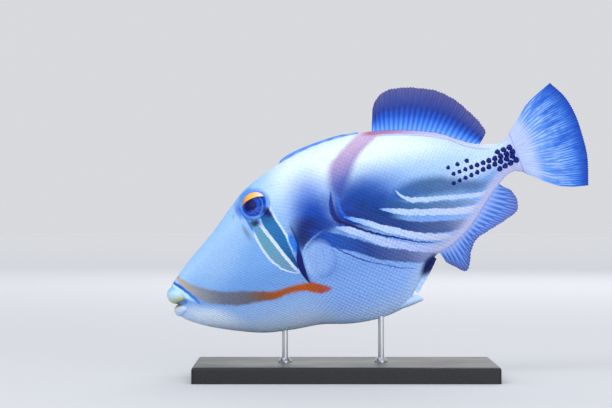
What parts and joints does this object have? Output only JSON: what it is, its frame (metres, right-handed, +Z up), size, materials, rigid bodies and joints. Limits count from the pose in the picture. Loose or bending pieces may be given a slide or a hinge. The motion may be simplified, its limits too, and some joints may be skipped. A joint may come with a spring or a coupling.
{
  "type": "picasso triggerfish display model",
  "caption": "Life-size still model of a slab-sided reef triggerfish swimming nose down, held on a flat base by short rods.",
  "frame": {"origin": "middle of the stand base's underside, under the fish's balance point", "axes": "+Z up; +X from the lips towards the tail fin, which is the longest way; -Y on the side of the fish's left flank"},
  "size_m": [0.2107, 0.084, 0.1478],
  "materials": {
    "skin": "satin painted scaly skin",
    "fin": "thin ribbed fin web",
    "eye": "polished",
    "stand_black": "satin black",
    "stand_steel": "brushed"
  },
  "bodies": {
    "root": {"head": "skin", "torso": "skin", "tail_stem": "skin", "belly_flap": "skin", "first_dorsal_fin": "fin", "dorsal_fin": "fin", "anal_fin": "fin", "tail_fin": "fin", "pectoral_fin_left": "fin", "pectoral_fin_right": "fin", "eye_left": "eye", "eye_right": "eye", "stand_base": "stand_black", "stand_rod_front": "stand_steel", "stand_rod_back": "stand_steel"}
  },
  "joints": []
}
